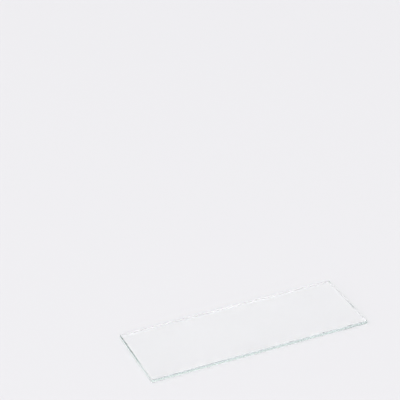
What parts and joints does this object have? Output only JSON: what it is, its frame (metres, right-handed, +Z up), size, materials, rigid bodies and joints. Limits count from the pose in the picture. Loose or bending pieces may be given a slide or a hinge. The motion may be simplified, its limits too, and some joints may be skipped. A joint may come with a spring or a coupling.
{
  "type": "microscope slide",
  "caption": "Thin rectangular plate of clear glass with scored and snapped, unground edges, made to carry a specimen under a microscope.",
  "frame": {"origin": "middle of the underside, on the surface that the slide lies on", "axes": "+X along the length, +Y across the width to the far long edge, +Z up through the thickness to the scored face"},
  "size_m": [0.0762, 0.0254, 0.0011],
  "materials": {
    "clear_glass": "clear soda-lime sheet glass with a faint sea-green body colour: fire-polished faces, and edges scored and snapped, left unground"
  },
  "bodies": {
    "root": {"glass_slide": "clear_glass"}
  },
  "joints": []
}
